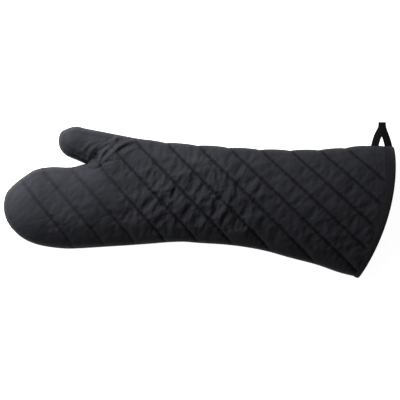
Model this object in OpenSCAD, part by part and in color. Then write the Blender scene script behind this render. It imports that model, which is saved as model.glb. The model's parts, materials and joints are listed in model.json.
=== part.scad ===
// Elbow-length quilted oven mitt, lying on its back panel.
// X runs from the fingertips to the cuff, Y across the mitt towards the thumb, Z up from the table.
// Each half is a sandwich of outer shell, batting and lining, and the two halves meet on the side seam.

/* [Outline] */
// Length of the panels from the fingertips to the cuff's furthest point
mitt_length = 606; // [600:0.5:615]
// How far the cuff's lower corner lies behind its furthest point
cuff_bow = 54.5; // [40:0.5:65]
// Height across the mitt at which the cuff edge reaches furthest
cuff_bow_y = 65; // [55:1:75]

/* [Height] */
// Height of the side seam above the table
seam_z = 14; // [13:0.5:18]
// Crown of the front panel over the seam, at the hand
hand_rise = 34; // [28:1:40]
// Crown of the front panel over the seam, at the cuff
cuff_rise = 42; // [34:1:48]
// Crown of the thumb over the seam
thumb_rise = 22; // [18:1:26]

/* [Wall] */
// Thickness of the cotton outer shell
shell_t = 0.8; // [0.6:0.1:1]
// Thickness of the batting
batting_t = 5; // [4:0.5:6]
// Thickness of the cotton lining
lining_t = 0.6; // [0.5:0.1:0.8]
// Share of the wall that is left where the binding squeezes it
cuff_squeeze = 0.5; // [0.4:0.05:0.7]

/* [Quilting] */
// Distance between quilting lines, measured along the mitt
quilt_pitch = 47.7; // [40:0.1:55]
// Radius of the sewing thread
thread_r = 0.4; // [0.3:0.05:0.5]

/* [Cuff binding] */
// Width of the binding on each face of the cuff
binding_w = 12; // [10:0.5:14]
// Thickness of the folded binding tape
binding_t = 0.8; // [0.6:0.1:1]

/* [Hanging loop] */
// Width of the loop tape
tape_w = 11; // [9:0.5:12]
// Thickness of one run of the folded tape
tape_t = 1.6; // [1.2:0.1:1.8]
// Height of the loop over its hinge line
loop_h = 35.1; // [32:0.1:38]

/* [Hidden] */

cloth_black = [0.16, 0.16, 0.18];
batting_white = [0.86, 0.85, 0.80];
lining_grey = [0.24, 0.24, 0.26];
tape_black = [0.07, 0.07, 0.08];
thread_black = [0.10, 0.10, 0.11];

ply_gap = 0.1;                     // air between neighbouring plies
// Places along the mitt are distances from the fingertips, until a point is placed on X by tip_x.
tip_x = -(mitt_length + ply_gap + binding_t) / 2;
crotch = [129, 56];                // where the thumb leaves the hand
thumb_top = [175, 101.5];          // where the thumb's fold line meets the upper side seam
thumb_tip = 85.5;
thumb_end = 245;                   // where the thumb's crown has died away in the hand
seam_gap = 0.1;                    // half the air between the front and back halves
split_gap = 0.3;                   // half the air along the thumb's fold line
tip_round = 60;                    // length over which the fingertips round off
thumb_round = 25;                  // length over which the thumb's tip rounds off
back_fill = 1.3;                   // over 1 flattens the back on the table
thumb_back = 0.9;                  // share of the back's depth under the thumb
cuff_lift = 1.6;                   // keeps the binding off the table
bow_start = 305;                   // where the ribs begin to bow like the cuff
cols = 10;                         // facets across a panel

shell_in = shell_t;
batting_out = shell_in + ply_gap;
batting_in = batting_out + batting_t;
lining_out = batting_in + ply_gap;
lining_in = lining_out + lining_t;
binding_edge = mitt_length - binding_w;
squeeze_start = binding_edge - 22;

// Edges of the hand, sleeve and thumb, as [distance, y]. On the bowed ribs the distance is the rib's own.
hand_upper = [[0, -10], [4, 10], [13, 21], [30, 35], [50, 47], [75, 51], [105, 50.5], crotch];
sleeve_upper = [
    thumb_top, [215, 94.5], [275, 88], [335, 83.5], [395, 79.5], [455, 78], [505, 79.5], [555, 84],
    [585, 84.5], [mitt_length, 81.5]
];
lower_edge = [
    [0, -10], [4, -30], [13, -44], [30, -59], [50, -68], [75, -73], [105, -75], [175, -71], [225, -68],
    [275, -65], [305, -67], [355, -70.5], [405, -78], [455, -90], [505, -100.5], [555, -112.5],
    [mitt_length, -120.4]
];
thumb_upper = [
    [thumb_tip, 91], [88, 104], [97, 110], [112, 114], [129, 110.5], [155, 105.5], thumb_top, [thumb_end, 91]
];
thumb_lower = [
    [thumb_tip, 91], [88, 80], [97, 70], [112, 63.5], crotch, [155, 44], [175, 36], [thumb_end, 30]
];

// Ribs of the hand and sleeve, after the point where they all meet, and of the thumb.
ribs = [
    1.5, 5, 12, 24, 40, 60, 85, 107, 129, 144, 160, 175, 200, 235, 275, 320, 365, 410, 455, 500, 540,
    squeeze_start, binding_edge, mitt_length
];
thumb_ribs = [1, 4, 11, 21, 32, 43.5];
root_shares = [0.25, 0.5, 0.75, 1];

// A smooth curve through rows of [distance, y], measured in the root of the distance from a round tip.
function root_of(d, tip) = sqrt(max(0, d - tip));
function span_of(rows, d, i = 0) = i >= len(rows) - 2 || d < rows[i + 1][0] ? i : span_of(rows, d, i + 1);
function slope_at(rows, i, tip) =
    let (a = max(0, i - 1), b = min(len(rows) - 1, i + 1))
    (rows[b][1] - rows[a][1]) / (root_of(rows[b][0], tip) - root_of(rows[a][0], tip));
function curve_y(rows, d, tip) =
    let (
        i = span_of(rows, d),
        a = root_of(rows[i][0], tip),
        w = root_of(rows[i + 1][0], tip) - a,
        t = min(1, max(0, (root_of(d, tip) - a) / w)),
        m0 = slope_at(rows, i, tip) * w,
        m1 = slope_at(rows, i + 1, tip) * w
    )
    rows[i][1] * (2 * t ^ 3 - 3 * t ^ 2 + 1) + m0 * (t ^ 3 - 2 * t ^ 2 + t)
    + rows[i + 1][1] * (3 * t ^ 2 - 2 * t ^ 3) + m1 * (t ^ 3 - t ^ 2);
function ramp(d, a, b) = let (t = min(1, max(0, (d - a) / (b - a)))) t * t * (3 - 2 * t);
function half_round(r) = sqrt(max(0, 1 - (1 - min(1, max(0, r))) ^ 2));

// Plan: the outline of the hand and sleeve, with the thumb's fold line as its upper edge at the root.
function at_root(d) = d > crotch[0] && d < thumb_top[0];
function fold_y(d) = crotch[1] + (d - crotch[0]) * (thumb_top[1] - crotch[1]) / (thumb_top[0] - crotch[0]);
function lower_y(d) = curve_y(lower_edge, d, 0);
function upper_y(d) =
    d <= crotch[0] ? curve_y(hand_upper, d, 0)
    : at_root(d) ? fold_y(d)
    : curve_y(sleeve_upper, d, 0);
function thumb_low_y(d) = curve_y(thumb_lower, d, thumb_tip);
function thumb_high_y(d) = curve_y(thumb_upper, d, thumb_tip);
function rib_bow(d, y) =
    let (w = max(0, d - bow_start) / (mitt_length - bow_start))
    w * w * cuff_bow * ((cuff_bow_y - y) / (cuff_bow_y - lower_y(mitt_length))) ^ 2;

// Height: two rounded bodies, the hand with its sleeve and the thumb, flow into each other.
function tip_share(d) = half_round(d / tip_round);
function thumb_share(d) = half_round((d - thumb_tip) / thumb_round);
function blend(a, b) = (a ^ 3 + b ^ 3) ^ (1 / 3);
function section(y, low, high, inset) =
    let (half = (high - low) / 2 - inset, v = half > 0 ? (y - (high + low) / 2) / half : 2)
    sqrt(max(0, 1 - v * v));
function hand_part(d, y, depth) = tip_share(d) * section(y, lower_y(d), upper_y(d), depth * tip_share(d));
function thumb_part(d, y, depth) =
    d < thumb_tip || d > thumb_end ? 0
    : thumb_share(d) * (1 - ramp(d, thumb_end - 90, thumb_end - 10))
        * section(y, thumb_low_y(d), thumb_high_y(d), depth * thumb_share(d));
function hand_crown(d) = hand_rise + (cuff_rise - hand_rise) * ramp(d, 205, 555);
function front_z(d, y, depth) =
    seam_z + seam_gap + blend(
        (hand_crown(d) - depth) * hand_part(d, y, depth),
        (thumb_rise - depth) * thumb_part(d, y, depth)
    );
function floor_z(d) = cuff_lift * ramp(d, squeeze_start, binding_edge);
function back_z(d, y, depth) =
    let (room = seam_z - seam_gap - floor_z(d) - depth)
    seam_z - seam_gap - min(
        room,
        back_fill * room * blend(hand_part(d, y, depth), thumb_back * thumb_part(d, y, depth))
    );
function wall_share(d) = 1 - (1 - cuff_squeeze) * ramp(d, squeeze_start, binding_edge);
function side_z(d, y, depth, front) = front ? front_z(d, y, depth) : back_z(d, y, depth);

// Points of one ply's face: distance along the mitt, share s across it, and depth under the outer face.
function spread(s) = (1 - cos(180 * s)) / 2;
function hand_point(d, s, depth, front) =
    let (
        under = depth * wall_share(d),
        inset = under * tip_share(d),
        low = lower_y(d) + inset,
        high = at_root(d) ? upper_y(d) - split_gap * sqrt(2) : upper_y(d) - inset,
        y = low + (high - low) * spread(s),
        shift = under * (1 - min(1, d / tip_round))
    )
    [tip_x + d + shift - rib_bow(d, y), y, side_z(d, y, under, front)];
function thumb_point(d, s, depth, front) =
    let (
        inset = depth * thumb_share(d),
        low = at_root(d) ? fold_y(d) + split_gap * sqrt(2) : thumb_low_y(d) + inset,
        high = thumb_high_y(d) - inset,
        y = low + (high - low) * spread(s),
        shift = depth * (1 - min(1, (d - thumb_tip) / thumb_round))
    )
    [tip_x + d + shift, y, side_z(d, y, depth, front)];
function thumb_stations(depth) =
    let (last = thumb_top[0] - 1.2 * depth - 3)
    concat(
        [for (r = thumb_ribs) thumb_tip + r],
        [for (t = root_shares) crotch[0] + t * (last - crotch[0])]
    );
function hand_face(depth, front) = concat(
    [hand_point(0, 0.5, depth, front)],
    [for (d = ribs) for (j = [0:cols]) hand_point(d, j / cols, depth, front)]
);
function thumb_face(depth, front) = concat(
    [thumb_point(thumb_tip, 0.5, depth, front)],
    [for (d = thumb_stations(depth)) for (j = [0:cols]) thumb_point(d, j / cols, depth, front)]
);

// A closed solid between two faces that share one grid: a tip point, then rows of cols + 1 points.
function face_mesh(rows, base) = concat(
    [for (j = [0:cols - 1]) [base, base + 2 + j, base + 1 + j]],
    [for (i = [0:rows - 2]) for (j = [0:cols - 1])
        let (a = base + 1 + i * (cols + 1) + j, c = a + cols + 1) each [[a, a + 1, c + 1], [a, c + 1, c]]]
);
function rim_of(rows) = concat(
    [0],
    [for (i = [0:rows - 1]) 1 + i * (cols + 1)],
    [for (j = [1:cols]) 1 + (rows - 1) * (cols + 1) + j],
    [for (i = [rows - 2:-1:0]) 1 + i * (cols + 1) + cols]
);
function flipped(faces) = [for (f = faces) [f[2], f[1], f[0]]];
module ply(top, bottom) {
    count = len(top);
    rows = (count - 1) / (cols + 1);
    rim = rim_of(rows);
    walls = [for (i = [0:len(rim) - 1])
        let (a = rim[i], b = rim[(i + 1) % len(rim)])
        each [[a, b, b + count], [a, b + count, a + count]]];
    polyhedron(concat(top, bottom), concat(face_mesh(rows, 0), flipped(face_mesh(rows, count)), walls));
}
module hand_ply(outer, inner, front) {
    if (front) ply(hand_face(outer, true), hand_face(inner, true));
    else ply(hand_face(inner, false), hand_face(outer, false));
}
module thumb_ply(outer, inner, front) {
    if (front) ply(thumb_face(outer, true), thumb_face(inner, true));
    else ply(thumb_face(inner, false), thumb_face(outer, false));
}

// A closed polygon carried along rings of points; a loop joins its last ring to its first.
module rings(points, looped = false) {
    n = len(points[0]);
    last = len(points) - 1;
    sides = [for (i = [0:looped ? last : last - 1]) for (k = [0:n - 1])
        let (
            a = i * n + k,
            b = i * n + (k + 1) % n,
            c = ((i + 1) % (last + 1)) * n + k,
            d = ((i + 1) % (last + 1)) * n + (k + 1) % n
        )
        each [[a, b, d], [a, d, c]]];
    caps = looped ? [] : [[for (k = [n - 1:-1:0]) k], [for (k = [0:n - 1]) last * n + k]];
    polyhedron([for (ring = points) each ring], concat(sides, caps));
}
// A four-sided thread along a path, with one side held square to the reference direction.
function unit(v) = v / norm(v);
function thread_rings(path, reference, looped = false) =
    [for (i = [0:len(path) - 1])
        let (
            n = len(path),
            before = looped ? path[(i + n - 1) % n] : path[max(0, i - 1)],
            after = looped ? path[(i + 1) % n] : path[min(n - 1, i + 1)],
            along = unit(after - before),
            side = unit(cross(reference, along)),
            up = cross(along, side)
        )
        [for (k = [0:3]) path[i] + thread_r * (cos(90 * k) * side + sin(90 * k) * up)]];
module thread(path, reference = [0, 0, 1], looped = false)
    rings(thread_rings(path, reference, looped), looped);

// Quilting lines run down and along the mitt, a little more slanted towards the cuff.
first_line = 52.3;                 // where the first line crosses the mitt's middle
line_count = 13;
line_steps = 10;
line_margin = 2.5;                 // from a line's end to the seam
function line_slant(k) = 0.78 + 0.03 * k;
function line_d(k, y) = first_line + k * quilt_pitch - line_slant(k) * y;
function on_hand(d, y) =
    d > 3 && d < squeeze_start - rib_bow(mitt_length, y)
    && y > lower_y(d) + line_margin && y < upper_y(d) - line_margin;
function on_thumb(d, y) =
    d > thumb_tip + 3 && d < thumb_top[0] - 4
    && y > (d < crotch[0] ? thumb_low_y(d) : fold_y(d)) + line_margin
    && y < thumb_high_y(d) - line_margin;
function line_ends(k, thumb) =
    let (ys = [for (y = [-125:0.5:115]) if (thumb ? on_thumb(line_d(k, y), y) : on_hand(line_d(k, y), y)) y])
    len(ys) < 20 ? [] : [ys[0], ys[len(ys) - 1]];
module quilting_lines(front, thumb = false) {
    for (k = [0:line_count - 1]) {
        ends = line_ends(k, thumb);
        if (len(ends) == 2)
            thread([for (i = [0:line_steps])
                let (y = ends[0] + (ends[1] - ends[0]) * i / line_steps, d = line_d(k, y))
                [tip_x + d, y, side_z(d, y, thread_r, front)]]);
    }
}

// Seam threads run in the batting, on the plane where the two halves meet.
seam_depth = 3.4;
root_rib = 8;                      // the rib at the crotch
sleeve_rib = 12;                   // the first rib past the thumb
last_rib = len(ribs) - 2;
function on_seam(p) = [p[0], p[1], seam_z];
module side_seam_thread() {
    hand = concat(
        [for (i = [root_rib:-1:0]) on_seam(hand_point(ribs[i], 1, seam_depth, true))],
        [on_seam(hand_point(0, 0.5, seam_depth, true))],
        [for (i = [0:last_rib]) on_seam(hand_point(ribs[i], 0, seam_depth, true))]
    );
    sleeve = [for (i = [sleeve_rib:last_rib]) on_seam(hand_point(ribs[i], 1, seam_depth, true))];
    color(thread_black) {
        thread(hand);
        thread(sleeve);
    }
}
module thumb_seam_thread() {
    stations = thumb_stations(seam_depth);
    at_crotch = len(thumb_ribs) - 1;
    path = concat(
        [for (i = [at_crotch:-1:0]) on_seam(thumb_point(stations[i], 0, seam_depth, true))],
        [on_seam(thumb_point(thumb_tip, 0.5, seam_depth, true))],
        [for (i = [0:len(stations) - 2]) on_seam(thumb_point(stations[i], 1, seam_depth, true))]
    );
    color(thread_black) thread(path);
}

// The binding is a U of tape over the cuff's edge, from the lower seam over the front and back again.
function around(count) = concat(
    [for (j = [0:count]) [j / count, true]],
    [for (j = [count:-1:0]) [j / count, false]]
);
function cuff_at(d, depth, turn) = hand_point(d, turn[0], depth / wall_share(d), turn[1]);
module cuff_binding() {
    wall = lining_in * cuff_squeeze;
    over = ply_gap + binding_t;
    // rows of [station, reach past the cuff's edge, depth]
    profile = [
        [binding_edge, 0, -over], [binding_edge, 0, -ply_gap],
        [mitt_length, ply_gap, -ply_gap], [mitt_length, ply_gap, wall + ply_gap],
        [binding_edge, 0, wall + ply_gap], [binding_edge, 0, wall + over],
        [mitt_length, over, wall + over], [mitt_length, over, -over]
    ];
    color(tape_black)
        rings([for (turn = around(cols)) [for (p = profile) cuff_at(p[0], p[2], turn) + [p[1], 0, 0]]], true);
}
module cuff_topstitch_thread() {
    line = binding_edge + 2.2;
    path = [for (turn = around(cols)) cuff_at(line, -ply_gap - binding_t, turn)];
    color(thread_black) thread(path, [1, 0, 0], true);
}

// The loop is one folded tape: two legs that lean together, lap over each other and are folded at the top.
hinge_y = 86.2;                    // where the legs bend, just past the side seam
left_leg = tip_x + 577;            // middles of the legs at the hinge line
right_leg = tip_x + 598.4;
loop_top = tip_x + 588.4;
neck_h = 26.3;                     // height at which the legs have come together
foot_w = tape_w / cos(21);
tab_reach = 10;                    // how far the tape's ends are sewn into the seam
tab_clear = 0.8;                   // air between the tape's ends and its bend
bartack_h = 10;
module leg(foot) {
    translate([0, hinge_y, seam_z]) {
        linear_extrude(tape_t, center = true) polygon([
            [foot - foot_w / 2, 0], [foot + foot_w / 2, 0], [loop_top + tape_w / 2, neck_h],
            [loop_top + tape_w / 2, loop_h], [loop_top - tape_w / 2, loop_h], [loop_top - tape_w / 2, neck_h]
        ]);
        translate([foot - foot_w / 2, 0, 0]) rotate([0, 90, 0])
            cylinder(h = foot_w, r = tape_t / 2, $fn = 32);
    }
}
module hanging_loop() {
    fold_h = loop_h - neck_h;
    color(tape_black) {
        leg(left_leg);
        leg(right_leg);
        translate([loop_top - tape_w / 2, hinge_y + neck_h, seam_z - tape_t])
            cube([tape_w, fold_h, 2 * tape_t]);
    }
}
module loop_anchor_tabs() {
    color(tape_black)
        for (x = [left_leg, right_leg])
            translate([x - foot_w / 2, hinge_y - tape_t / 2 - tab_clear - tab_reach, seam_z - tape_t / 2])
                cube([foot_w, tab_reach, tape_t]);
}
module loop_bartack_thread() {
    color(thread_black)
        for (x = [left_leg, right_leg], step = [-1, 0, 1])
            translate([x + 3 * step, hinge_y - 8 + 0.4 * step, seam_z - bartack_h / 2])
                cylinder(h = bartack_h, r = thread_r, $fn = 24);
}

module outer_shell_front() color(cloth_black) hand_ply(0, shell_in, true);
module outer_shell_back() color(cloth_black) hand_ply(0, shell_in, false);
module batting_front() color(batting_white) hand_ply(batting_out, batting_in, true);
module batting_back() color(batting_white) hand_ply(batting_out, batting_in, false);
module lining_front() color(lining_grey) hand_ply(lining_out, lining_in, true);
module lining_back() color(lining_grey) hand_ply(lining_out, lining_in, false);
module quilting_thread_front() color(thread_black) quilting_lines(true);
module quilting_thread_back() color(thread_black) quilting_lines(false);
module thumb_shell_front() color(cloth_black) thumb_ply(0, shell_in, true);
module thumb_shell_back() color(cloth_black) thumb_ply(0, shell_in, false);
module thumb_batting_front() color(batting_white) thumb_ply(batting_out, batting_in, true);
module thumb_batting_back() color(batting_white) thumb_ply(batting_out, batting_in, false);
module thumb_lining_front() color(lining_grey) thumb_ply(lining_out, lining_in, true);
module thumb_lining_back() color(lining_grey) thumb_ply(lining_out, lining_in, false);
module thumb_quilting_thread() {
    color(thread_black) {
        quilting_lines(true, true);
        quilting_lines(false, true);
    }
}

outer_shell_front();
outer_shell_back();
batting_front();
batting_back();
lining_front();
lining_back();
quilting_thread_front();
quilting_thread_back();
side_seam_thread();
cuff_binding();
cuff_topstitch_thread();
loop_anchor_tabs();
loop_bartack_thread();
thumb_shell_front();
thumb_shell_back();
thumb_batting_front();
thumb_batting_back();
thumb_lining_front();
thumb_lining_back();
thumb_quilting_thread();
thumb_seam_thread();
hanging_loop();
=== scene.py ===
"""An elbow-length quilted oven mitt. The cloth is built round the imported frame, and lies on a pale floor."""
import json
import math

import bpy
import numpy as np
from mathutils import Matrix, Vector, geometry
from mathutils.bvhtree import BVHTree


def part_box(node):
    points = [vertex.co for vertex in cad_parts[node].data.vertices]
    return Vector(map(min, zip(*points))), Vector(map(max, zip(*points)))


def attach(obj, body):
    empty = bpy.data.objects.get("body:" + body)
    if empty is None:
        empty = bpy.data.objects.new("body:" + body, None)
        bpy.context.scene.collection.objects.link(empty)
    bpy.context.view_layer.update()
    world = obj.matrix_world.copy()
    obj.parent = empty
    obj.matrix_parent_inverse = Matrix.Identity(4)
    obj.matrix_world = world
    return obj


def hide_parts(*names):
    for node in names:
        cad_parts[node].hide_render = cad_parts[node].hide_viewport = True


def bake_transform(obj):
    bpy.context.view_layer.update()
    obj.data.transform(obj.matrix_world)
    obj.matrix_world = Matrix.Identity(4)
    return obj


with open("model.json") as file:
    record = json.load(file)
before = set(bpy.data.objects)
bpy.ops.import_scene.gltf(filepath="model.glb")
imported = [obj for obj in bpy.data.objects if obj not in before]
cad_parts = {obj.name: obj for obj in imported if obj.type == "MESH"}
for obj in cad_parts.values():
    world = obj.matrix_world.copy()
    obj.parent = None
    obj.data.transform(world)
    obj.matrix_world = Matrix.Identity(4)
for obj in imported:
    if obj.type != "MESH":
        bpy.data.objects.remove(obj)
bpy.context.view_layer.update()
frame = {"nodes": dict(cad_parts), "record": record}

MM = 0.001

# ---------------------------------------------------------------- places, in millimetres, from the frame
SHELL_LOW, SHELL_HIGH = (np.array(c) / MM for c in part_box("outer_shell_front"))
LOOP_LOW, LOOP_HIGH = (np.array(c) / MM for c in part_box("hanging_loop"))
JOINTS = {j["name"]: j for j in frame["record"]["behaviour"]["joints"]}
TIP_X = SHELL_LOW[0]
LENGTH = SHELL_HIGH[0] - SHELL_LOW[0]
SEAM_Z = (SHELL_LOW[2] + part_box("outer_shell_back")[1][2] / MM) / 2

# the panels' outline as (distance from the fingertips, y), the same curves as the CAD shells follow
CROTCH = (129, 56)
THUMB_TOP = (175, 101.5)
THUMB_TIP, THUMB_END = 85.5, 245
HAND_UPPER = [(0, -10), (4, 10), (13, 21), (30, 35), (50, 47), (75, 51), (105, 50.5), CROTCH]
SLEEVE_UPPER = [
    THUMB_TOP, (215, 94.5), (275, 88), (335, 83.5), (395, 79.5), (455, 78), (505, 79.5), (555, 84),
    (585, 84.5), (LENGTH, 81.5),
]
LOWER_EDGE = [
    (0, -10), (4, -30), (13, -44), (30, -59), (50, -68), (75, -73), (105, -75), (175, -71), (225, -68),
    (275, -65), (305, -67), (355, -70.5), (405, -78), (455, -90), (505, -100.5), (555, -112.5),
    (LENGTH, -120.4),
]
THUMB_UPPER = [
    (THUMB_TIP, 91), (88, 104), (97, 110), (112, 114), (129, 110.5), (155, 105.5), THUMB_TOP, (THUMB_END, 91),
]
THUMB_LOWER = [
    (THUMB_TIP, 91), (88, 80), (97, 70), (112, 63.5), CROTCH, (155, 44), (175, 36), (THUMB_END, 30),
]

HAND_RISE, CUFF_RISE, THUMB_RISE = 34, 42, 22     # crowns of the front panel over the seam
BACK_DEPTH = SEAM_Z                               # the back panel lies on the floor
CUFF_LIFT, CUFF_SQUEEZE = 1.6, 0.5                # the back is lifted at the cuff, and its plies are pressed
BOW, BOW_Y, BOW_START = 54.5, 65, 305             # past BOW_START, cuts below BOW_Y bow back by up to BOW
BINDING_W = 12
BINDING_EDGE = LENGTH - BINDING_W
SQUEEZE_START = BINDING_EDGE - 22

# depths under the outer face of the shell's inside and the lining's inside
SHELL_IN, LINING_IN = 0.8, 6.6
# outer and inner face of each inner ply: its depth, its depth at the stitching, and the least it keeps
# under the worked cloth
BATTING_FACES = (1.9, 5.8, 1.6), (5.9, 6.5, 2.2)
LINING_FACES = (6.1, 6.7, 2.4), (6.7, 7.3, 3.0)

# quilting lines: x falls by SLANT as y rises, and by FAN more on each line towards the cuff
FIRST_LINE, PITCH, LINES = 52.3, 47.7, 13
SLANT, FAN = 0.78, 0.03
LINE_GAP = 0.78 * PITCH                           # from line to line, measured across them
GROOVE = 3.4


# ---------------------------------------------------------------- small sums
def unit(vectors):
    """Rows of vectors, each made one long."""
    return vectors / np.maximum(np.linalg.norm(vectors, axis=1), 1e-12)[:, None]


def run_of(points):
    """How far along a line of points each of them is."""
    return np.concatenate([[0], np.cumsum(np.linalg.norm(np.diff(points, axis=0), axis=1))])


def read_off(at, run, rows):
    """Rows of values, read off at some distances along their run."""
    return np.stack([np.interp(at, run, column) for column in np.transpose(rows)], axis=1)


def ramp(x, a, b):
    """0 up to a, rising smoothly to 1 at b."""
    t = np.clip((np.asarray(x, float) - a) / (b - a), 0, 1)
    return t * t * (3 - 2 * t)


def spaced(points, step):
    """Points along a polyline, about step apart, with both ends kept."""
    run = run_of(points)
    return read_off(np.linspace(0, run[-1], max(2, int(round(run[-1] / step)) + 1)), run, points)


# ---------------------------------------------------------------- outline and heights
def root_of(d, tip):
    return np.sqrt(np.maximum(0, d - tip))


def curve_y(rows, d, tip=0.0):
    """A smooth curve through rows of (distance, y), measured in the root of the distance from a round tip."""
    d = np.asarray(d, float)
    rows = np.array(rows, float)
    r, y = root_of(rows[:, 0], tip), rows[:, 1]
    slope = np.empty(len(y))
    slope[1:-1] = (y[2:] - y[:-2]) / (r[2:] - r[:-2])
    slope[0], slope[-1] = (y[1] - y[0]) / (r[1] - r[0]), (y[-1] - y[-2]) / (r[-1] - r[-2])
    i = np.clip(np.searchsorted(rows[:, 0], d, side="right") - 1, 0, len(y) - 2)
    w = r[i + 1] - r[i]
    t = np.clip((root_of(d, tip) - r[i]) / w, 0, 1)
    near, far = 2 * t**3 - 3 * t**2 + 1, 3 * t**2 - 2 * t**3
    turn = slope[i] * w * (t**3 - 2 * t**2 + t) + slope[i + 1] * w * (t**3 - t**2)
    return y[i] * near + y[i + 1] * far + turn


def half_round(r):
    """A quarter of a circle, from 0 at 0 up to 1 at 1."""
    return np.sqrt(np.maximum(0, 1 - (1 - np.clip(r, 0, 1)) ** 2))


def fold_y(d):
    """The thumb's fold line, from the crotch to the sleeve's upper edge."""
    return CROTCH[1] + (d - CROTCH[0]) * (THUMB_TOP[1] - CROTCH[1]) / (THUMB_TOP[0] - CROTCH[0])


def lower_y(d):
    return curve_y(LOWER_EDGE, d)


def upper_y(d):
    d = np.asarray(d, float)
    hand, sleeve = curve_y(HAND_UPPER, d), curve_y(SLEEVE_UPPER, d)
    return np.where(d <= CROTCH[0], hand, np.where(d < THUMB_TOP[0], fold_y(d), sleeve))


def thumb_low_y(d):
    return curve_y(THUMB_LOWER, d, THUMB_TIP)


def thumb_high_y(d):
    return curve_y(THUMB_UPPER, d, THUMB_TIP)


def rib_bow(d, y):
    """How far a cut across the sleeve bows back towards the fingers."""
    w = np.maximum(0, np.asarray(d, float) - BOW_START) / (LENGTH - BOW_START)
    return w**2 * BOW * ((BOW_Y - y) / (BOW_Y - LOWER_EDGE[-1][1])) ** 2


def rib_of(x, y):
    """The distance of the bowed rib through a plan point."""
    straight = np.asarray(x, float) - TIP_X
    d = straight
    for _ in range(12):
        d = straight + rib_bow(d, y)
    return d


def section(y, low, high, inset):
    """A half ellipse across the mitt: 1 half way between low and high, and 0 at an inset from them."""
    half = np.maximum((high - low) / 2 - inset, 1e-6)
    return np.sqrt(np.maximum(0, 1 - ((y - (high + low) / 2) / half) ** 2))


def hand_part(d, y, depth):
    share = half_round(d / 60)
    return share * section(y, lower_y(d), upper_y(d), depth * share)


def thumb_part(d, y, depth):
    share = half_round((d - THUMB_TIP) / 25)
    part = share * (1 - ramp(d, THUMB_END - 90, THUMB_END - 10))
    part = part * section(y, thumb_low_y(d), thumb_high_y(d), depth * share)
    return np.where((d < THUMB_TIP) | (d > THUMB_END), 0, part)


def flow(a, b):
    """Two heights run together softly."""
    return np.cbrt(a**3 + b**3)


def side_z(d, y, depth, front):
    """The height of the front or back panel, at a depth under its outer face."""
    hand, thumb = hand_part(d, y, depth), thumb_part(d, y, depth)
    if front:
        crown = HAND_RISE + (CUFF_RISE - HAND_RISE) * ramp(d, 205, 555)
        return SEAM_Z + flow((crown - depth) * hand, (THUMB_RISE - depth) * thumb)
    room = BACK_DEPTH - CUFF_LIFT * ramp(d, SQUEEZE_START, BINDING_EDGE) - depth
    return SEAM_Z - np.minimum(room, 1.3 * room * flow(hand, 0.9 * thumb))


def line_number(x, y):
    """Which quilting line a plan point lies on: whole on a line, and between lines in the channels."""
    return (x - TIP_X - FIRST_LINE + SLANT * y) / (PITCH - FAN * y)


def line_x(k, y):
    return TIP_X + FIRST_LINE + k * PITCH - (SLANT + FAN * k) * y


def on_thumb(x, y):
    """True past the fold line, on the thumb's side of the crotch."""
    d = np.asarray(x, float) - TIP_X
    gap = (curve_y(HAND_UPPER, d) + thumb_low_y(d)) / 2
    return (d > THUMB_TIP - 5) & (d < THUMB_TOP[0]) & (y > np.where(d < CROTCH[0], gap, fold_y(d)))


# ---------------------------------------------------------------- the cut cloth: one triangle mesh in plan
STEP = 3.8
GATHER = np.array([TIP_X + 157, 80])              # middle of the gathers at the thumb's root
GATHER_SIZE = np.array([46, 34])
STEEP_REACH = 18                                  # the cloth turns down steeply this near the seam


def edge(rows, start, stop, curve, tip=0.0):
    """One stretch of the outline in plan, from distance start to stop."""
    r = np.linspace(math.sqrt(start - tip), math.sqrt(stop - tip), 400)
    d = tip + r**2
    y = curve(d)
    puff = np.abs(np.sin(np.pi * line_number(TIP_X + d, y))) ** 0.45
    if rows is SLEEVE_UPPER:
        y = y + 2.4 * (puff - 0.8) * ramp(d, 190, 250) * (1 - ramp(d, SQUEEZE_START - 15, SQUEEZE_START))
    return np.stack([TIP_X + d - rib_bow(d, y), y], axis=1)


def outline():
    """The closed outline and how many of its first points lie on the side seam. The rest lie on the cuff."""
    stretches = [
        edge(LOWER_EDGE, 0, LENGTH, lower_y)[::-1],
        edge(HAND_UPPER, 0, CROTCH[0], lambda d: curve_y(HAND_UPPER, d)),
        edge(THUMB_LOWER, THUMB_TIP, CROTCH[0], thumb_low_y, THUMB_TIP)[::-1],
        edge(THUMB_UPPER, THUMB_TIP, THUMB_TOP[0], thumb_high_y, THUMB_TIP),
        edge(SLEEVE_UPPER, THUMB_TOP[0], LENGTH, lambda d: curve_y(SLEEVE_UPPER, d)),
    ]
    seam = np.vstack([spaced(s, STEP * 0.8)[:-1] for s in stretches] + [stretches[-1][-1:]])
    y = np.linspace(SLEEVE_UPPER[-1][1], LOWER_EDGE[-1][1], 200)
    cuff = spaced(np.stack([TIP_X + LENGTH - rib_bow(LENGTH, y), y], axis=1), STEP * 0.8)[1:-1]
    return np.vstack([seam, cuff]), len(seam)


def inside(points, ring):
    """Which plan points lie inside a closed ring."""
    x, y = points[:, 0], points[:, 1]
    hit = np.zeros(len(points), bool)
    for (ax, ay), (bx, by) in zip(ring, np.roll(ring, -1, axis=0)):
        if ay == by:
            continue
        crosses = (ay > y) != (by > y)
        hit ^= crosses & (x < (bx - ax) * (y - ay) / (by - ay) + ax)
    return hit


def nearest(points, others):
    """Distance from each point to the nearest of others, and which it is."""
    distance, index = np.full(len(points), np.inf), np.zeros(len(points), int)
    for start in range(0, len(points), 2000):
        gap = np.linalg.norm(points[start:start + 2000, None] - others[None], axis=2)
        index[start:start + 2000] = gap.argmin(axis=1)
        distance[start:start + 2000] = gap.min(axis=1)
    return distance, index


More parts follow.
